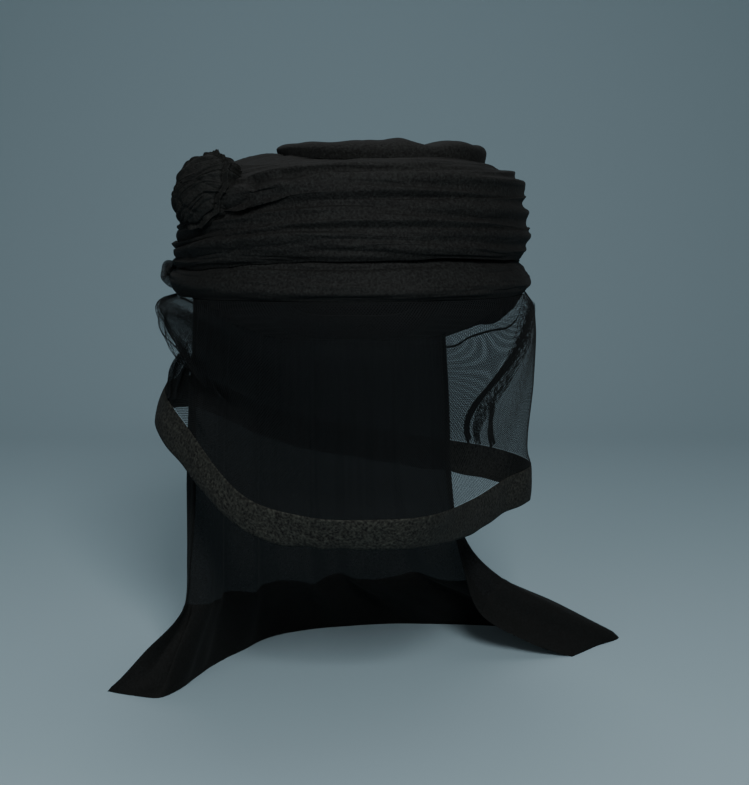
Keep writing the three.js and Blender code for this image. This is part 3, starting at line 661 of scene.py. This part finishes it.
def net_surface(turn, down):
    """The hanging net: from under the brim's edge to the border, swelling out on the way, in slack folds, and caught
    in below its puffs at the left."""
    angle = TURN * turn
    top = on_hat(BRIM_PROFILE, turn, 0 * turn, 1.0, -GAP)
    p = top + (net_edge(turn) - top) * down[..., None]
    left = np.maximum(0, -np.sin(angle)) ** 2
    hanging = np.sin(np.pi * np.clip(down, 0, 1))
    slack = 0.016 * hanging * noise(turn * 22, down * 0.9 + 3, 51, 22)
    slack = slack + 0.02 * hanging * left * creases(turn * 40, down * 2.5 + 3, 52, 40)
    swell = along(NET_SWELL, 1, down) + left * along(NET_SWELL, 2, down) + slack
    return p + point(HALF_WIDTH * swell * np.sin(angle), -HALF_WIDTH * swell * np.cos(angle), 0)


# Pleats in the net.
# Columns: turn and way down at the top, the same at the foot, how soon it gets there, width in mm, layers.
NET_PLEATS = (
    (0.262, 0.06, 0.406, 0.985, 2.4, 7.0, 4),
    (0.372, 0.62, 0.379, 0.99, 1.0, 3.0, 4),
    (0.268, 0.03, 0.396, 0.98, 2.0, 22.0, 1),
    (0.742, 0.42, 0.748, 0.97, 1.0, 8.0, 3),
    (0.772, 0.40, 0.762, 0.90, 1.0, 5.0, 3),
)
# Columns: turn, how far the net's gathered heading and the line of its gathers hang below the brim, in mm.
NET_HEADING = np.array(
    [
        (0.245, 0.8, 2.0),
        (0.262, 5.0, 9.0),
        (0.280, 9.5, 20.0),
        (0.305, 12.0, 22.5),
        (0.330, 10.5, 16.5),
        (0.350, 5.0, 12.0),
        (0.370, 1.8, 8.5),
        (0.390, 1.5, 10.5),
        (0.420, 1.5, 8.0),
        (0.500, 1.5, 4.5),
        (0.745, 1.5, 4.2),
    ]
)


def pleat(top_turn, top_down, foot_turn, foot_down, haste, width, layers):
    """A narrow pleat in the net: the cloth goes to and fro across it, each layer a little in front of the last."""
    turns, falls, step = foot_turn - top_turn, foot_down - top_down, 1e-3

    def surface(u, v):
        run = np.clip(v, 0, 1)
        turn = top_turn + turns * (1 - (1 - run) ** haste)
        down = top_down + falls * run
        p, out = on(net_surface, turn, down)
        ahead = net_surface(turn + step * haste * turns * (1 + step - run) ** (haste - 1), down + step * falls)
        side = unit(np.cross(out, ahead - p))
        across = np.abs(np.mod(u * layers, 2) - 1) - 0.5
        wide = width * (0.7 + 0.3 * np.cos(np.pi * run)) + 1.2 * np.sin(11 * run)
        return p + side * (across * wide)[..., None] - out * ((u - 0.5) * 4)[..., None]

    return surface


def surplus_net(turn, down):
    """The second layer of the net at the left, where its surplus is caught up: it hangs inside the first in folds of
    its own, down to SURPLUS_FOOT."""
    p, out = on(net_surface, turn, down)
    depth = 3.5 + 3.0 * noise(turn * 60, down * 5, 54) + 1.5 * noise(turn * 130, down * 9, 55)
    return p - out * (depth * np.sin(np.pi * np.clip(down / SURPLUS_FOOT, 0, 1)))[..., None]


def net_heading(turn, down):
    """The net's gathers under the brim, from its lower edge down to the depth in the table, with fine upright
    folds."""
    top = on_hat(BRIM_PROFILE, turn, 0 * turn, -0.4, 0.4)
    depth = along(NET_HEADING, 1, turn) + 0.8 * noise(turn * 70, 0 * turn, 56) * np.clip(down * 2, 0, 1)
    fold = 0.7 * noise(turn * 150, down * 1.3, 57)
    out = point(np.sin(TURN * turn), -np.cos(TURN * turn), 0)
    return top + out * fold[..., None] - point(0, 0, depth * down)


def veil_net():
    """Net veil: fine threads crossing at a slant all round the rim, with its pleats, and its gathered heading under
    the brim with the line of its gathers."""
    parts = [
        net(net_surface, 370, 0.19, 34, NET_THREAD_WIDTH),
        net(surplus_net, 46, 0.1, 26, NET_THREAD_WIDTH, SURPLUS_SPAN, (0.0, SURPLUS_FOOT)),
    ]
    for *path, layers in NET_PLEATS:
        parts.append(net(pleat(*path, layers), 8 + 4 * layers, 0.6, 50, NET_THREAD_WIDTH))
    columns, rows = 420, 5
    turn = np.linspace(NET_HEADING[0, 0], NET_HEADING[-1, 0], columns)[None, :]
    down = np.linspace(0, 1, rows)[:, None]
    parts.append((net_heading(turn + 0 * down, down + 0 * turn), grid_faces(rows, columns)))
    sag = along(NET_HEADING, 2, turn) + 1.2 * noise(turn * 26, 0 * turn, 53)
    line = on_hat(BRIM_PROFILE, turn, 0 * turn, 0.6) - point(0, 0, sag)
    parts.append(ribbons(line, np.array([0.0, 0, 1.0]) + 0 * line, 1.9))
    p, faces = join(*parts)
    ob = mesh_of("veil_net", p, faces, NET_THREAD, smooth=False)
    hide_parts("face_net")
    return ob


def puff_of_net():
    """The net caught up beside the brim: a small crumpled puff of the same threads."""

    def surface(u, v):
        tilt = np.pi * np.clip(v, 0.02, 0.98)
        swell = 1 + 0.16 * ripple(u, v, 61, 3, 2)
        return point(
            -HALF_WIDTH - 2 - 7.5 * swell * np.sin(tilt) * np.cos(TURN * u),
            4 - 13 * np.cos(tilt) * swell,
            RIM_FRONT + 11 + 9 * swell * np.sin(tilt) * np.sin(TURN * u),
        )

    p, faces = net(surface, 44, 0.5, 40, PUFF_THREAD_WIDTH)
    ob = mesh_of("net_puff", p, faces, NET_THREAD, smooth=False)
    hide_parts("net_gather")


def border_surface(turn, down):
    """The strip below the net's edge: it leans in under the chin, its two edges are pressed and it buckles a little
    between them."""
    p = net_edge(turn)
    tuck = along(NET_EDGE, 4, np.mod(turn, 1) * 360)
    flat = unit(p * [1, 1, 0])
    way = unit(-flat * tuck[..., None] + np.array([0, 0, -1.0]))
    between = np.sin(np.pi * np.clip(down, 0, 1))
    buckle = 1.1 * between + 0.5 * ripple(turn, down, 63, 26, 1) * between
    edge = 0.5 * ripple(turn, 0 * down, 65, 30, 0)
    return p + way * (0.6 + (BORDER_WIDTH + edge) * down)[..., None] + flat * buckle[..., None]


def border():
    """Crape border: a folded strip, so its front and back faces meet in a rounded lower edge."""
    columns, rows = 640, 16
    turn = np.arange(columns)[None, :] / columns
    down = np.concatenate([np.linspace(0, 1, rows), np.linspace(1, 0, rows)])[:, None]
    side = np.concatenate([np.full(rows, 1.0), np.full(rows, -1.0)])[:, None]
    p, out = on(border_surface, turn + 0 * down, down + 0 * turn)
    p = p + out * (side * 0.45 * np.clip(6 * np.minimum(down + 0.05, 1 - down), 0.1, 1))[..., None]
    ob = mesh_of("border_strip", p.reshape(-1, 3), grid_faces(2 * rows, columns, True, True), BORDER_CRAPE)
    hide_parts("net_border")
    return ob


# Long veil


# The height where the veil's fall ends, how far below it the bottom edge settles on the floor, and how far the
# heading is drawn up at the top, in mm.
VEIL_FOOT, SETTLE, DRAWN_UP = RIM_FRONT - VEIL_DROP + 2.2, 1, 2.2


def veil_base(at, down):
    """The plain fall from the underbrim to the table."""
    angle = np.radians(VEIL_FROM + (VEIL_TO - VEIL_FROM) * at)
    in_on_brim = (0.965 - VEIL_SEAT) / (0.965 - HEAD_WIDTH / (2 * HALF_WIDTH))
    rim = RIM_FRONT + CROWN_HEIGHT * blend_sides(BRIM_PROFILE, 0 * at, angle)
    height = rim + COLLAR_RISE * in_on_brim + 0.5 - 3.5 * GAP
    x, y = HALF_WIDTH * VEIL_SEAT * np.sin(angle), -HALF_DEPTH * VEIL_SEAT * np.cos(angle)
    lies = along(VEIL_EDGE, 3, at)
    reach = along(VEIL_FALL, 3, down) + along(VEIL_EDGE, 4, at) * along(VEIL_FALL, 4, down)
    drop = (1 - lies) * along(VEIL_FALL, 1, down) + lies * along(VEIL_FALL, 2, down)
    return point(
        x + (VEIL_SPREAD * along(VEIL_EDGE, 1, at) - x) * reach,
        y + (VEIL_SPREAD * along(VEIL_EDGE, 2, at) - y) * reach,
        height + (VEIL_FOOT - height) * drop,
    )


def veil_surface(at, down):
    """The long veil: wide hanging folds that die out at its right edge, narrower ones between them, and gathers at
    the top that die out as it falls. Its bottom edge settles level on the floor."""
    p, out = on(veil_base, at, down)
    p = p + point(0, 0, DRAWN_UP * np.clip(1 - down / 0.012, 0, 1))
    wave = np.sin(TURN * VEIL_FOLDS * at - 1) + 0.35 * np.sin(TURN * (VEIL_FOLDS + 4) * at - 1.8)
    at_edge = np.exp(-(((1 - at) / 0.06) ** 2))
    fold = VEIL_FOLD * along(VEIL_FALL, 5, down) * (1 + wave / 1.35) * (1 - 0.8 * at_edge)
    drift = at + 0.012 * ripple(at * 0.3, down, 71, 4, 1.5)
    narrow = 1.7 * np.sin(TURN * 17 * drift + 3 * down)
    narrow = narrow * (0.35 + np.clip(ripple(at * 0.5, down, 73, 4, 1), 0, 1))
    gather = 1.0 * crease(64 * drift, 1) * np.exp(-down / 0.06)
    lie = np.clip((1 - down) * 4, 0.12, 1)
    p = p + out * (fold + (narrow + gather) * lie)[..., None]
    settled = np.clip((down - 0.95) / 0.05, 0, 1) ** 2
    p[..., 2] += (VEIL_FOOT - SETTLE - p[..., 2]) * settled
    return p


# Cloth that the last steps down cover, near the table, for one whole step.
LOWER_CLOTH = VEIL_DROP * 0.73
HEM_TOP = 1 - HEM_DEPTH / LOWER_CLOTH
TOP_WIDTH = np.radians(VEIL_FROM - VEIL_TO) * HALF_WIDTH * VEIL_SEAT
# A side hem's share of the veil's places across: the spread cloth is SPREAD_OUT times as wide as its gathered top.
SPREAD_OUT = 2.4
SIDE = SIDE_HEM / (SPREAD_OUT * TOP_WIDTH)
# Thickness of the folded hems in mm, and how far the bottom one laps up over the veil as a share of the fall.
SIDE_HEM_THICK, HEM_THICK, HEM_LAP = 1.0, 1.2, 0.004


def veil_piece(name, material, at, down, thick=0.0):
    """A stretch of the long veil. With a thickness it is a folded hem, whose two faces meet at its edges."""
    u, v = np.meshgrid(at, down)
    p, out = on(veil_surface, u, v)
    parts = [(p, grid_faces(len(down), len(at)))]
    if thick:
        rim = np.minimum.reduce([u - at[0], at[-1] - u, v - down[0], down[-1] - v])
        half = (thick / 2 * np.clip(rim / (at[1] - at[0]), 0.05, 1))[..., None]
        back = grid_faces(len(down), len(at))[:, ::-1]
        parts = [(p + out * half, grid_faces(len(down), len(at))), (p - out * half, back)]
    points, faces = join(*parts)
    return mesh_of(name, points, faces, material)


def veils():
    """The sheer veil and its double hems."""
    down, across = np.linspace(0, HEM_TOP, 170), np.linspace(SIDE, 1 - SIDE, 300)
    long_veil = veil_piece("long_veil", VEIL_CRAPE, across, down)
    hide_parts("back_veil")
    left = veil_piece("left_side_hem", HEM_CRAPE, np.linspace(0, SIDE, 9), down, SIDE_HEM_THICK)
    right = veil_piece("right_side_hem", HEM_CRAPE, np.linspace(1 - SIDE, 1, 9), down, SIDE_HEM_THICK)
    down, across = np.linspace(HEM_TOP - HEM_LAP, 1, 44), np.linspace(0, 1, 320)
    hem = veil_piece("bottom_hem", HEM_CRAPE, across, down, HEM_THICK)
    for ob, node in ((left, "veil_side_hem_left"), (right, "veil_side_hem_right"), (hem, "veil_hem")):
        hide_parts(node)
    return long_veil, left, right, hem


# Stage


# Heights and places in m, and how far the camera looks down, in degrees.
FLOOR_HEIGHT = -0.3127
CAMERA_PLACE, CAMERA_DOWN = (0.018, -1.053, 0.120), 9.4
# Focal length and picture height in pixels, and the sensor's longer side in mm.
FOCAL_PIXELS, PICTURE_HEIGHT, SENSOR = 1350, 785, 36
# Columns: name, place in m, power in W, size in m.
LIGHTS = (
    ("key_light", (0.22, -1.4, 0.85), 28, 0.4),
    ("fill_light", (-0.8, -1.3, 0.4), 4.5, 0.9),
    ("top_light", (0.3, 0.1, 1.4), 3.5, 0.8),
    ("back_light", (-0.2, 1.0, 1.75), 7, 1.0),
)


def floor_and_light():
    """A pale floor that curves up into a backdrop, in metres, soft light from the upper right front with weaker
    light from the left, above and behind, and the photograph's camera."""
    m = bpy.data.materials.new("pale_floor")
    m.use_nodes = True
    m.node_tree.nodes["Principled BSDF"].inputs["Base Color"].default_value = srgb("879ca5")
    m.node_tree.nodes["Principled BSDF"].inputs["Roughness"].default_value = 0.9
    bend = np.linspace(0, np.pi / 2, 24)
    y = np.concatenate([[-3.0], 1.1 + 0.9 * np.sin(bend), [2.0]])
    z = np.concatenate([[0.0], 0.9 - 0.9 * np.cos(bend), [3.5]]) + FLOOR_HEIGHT
    rows = point(np.array([[-4.0, 4.0]]), y[:, None], z[:, None])
    me = bpy.data.meshes.new("floor")
    me.from_pydata(rows.reshape(-1, 3).tolist(), [], grid_faces(len(y), 2).tolist())
    me.polygons.foreach_set("use_smooth", np.ones(len(me.polygons), bool))
    me.materials.append(m)
    floor = bpy.data.objects.new("floor", me)
    bpy.context.scene.collection.objects.link(floor)
    world = bpy.data.worlds.new("studio")
    world.use_nodes = True
    world.node_tree.nodes["Background"].inputs["Color"].default_value = srgb("c3cfd4")
    world.node_tree.nodes["Background"].inputs["Strength"].default_value = 0.15
    bpy.context.scene.world = world
    for name, place, power, size in LIGHTS:
        light = bpy.data.lights.new(name, "AREA")
        light.energy, light.size = power, size
        lamp = bpy.data.objects.new(name, light)
        lamp.location = place
        aim = -np.array(place)
        tilt, bearing = np.arctan2(np.hypot(aim[0], aim[1]), -aim[2]), np.arctan2(aim[1], aim[0])
        lamp.rotation_euler = (tilt, 0, bearing - np.pi / 2)
        bpy.context.scene.collection.objects.link(lamp)
    lens = bpy.data.cameras.new("camera")
    lens.lens, lens.sensor_width = FOCAL_PIXELS / PICTURE_HEIGHT * SENSOR, SENSOR
    camera = bpy.data.objects.new("camera", lens)
    camera.location = CAMERA_PLACE
    camera.rotation_euler = (np.radians(90 - CAMERA_DOWN), 0, 0)
    bpy.context.scene.collection.objects.link(camera)
    bpy.context.scene.camera = camera


crown()
brim()
crown_top()
rosette()
net_veil = veil_net()
puff_of_net()
strip = border()
long_veil, left_hem, right_hem, hem = veils()
floor_and_light()
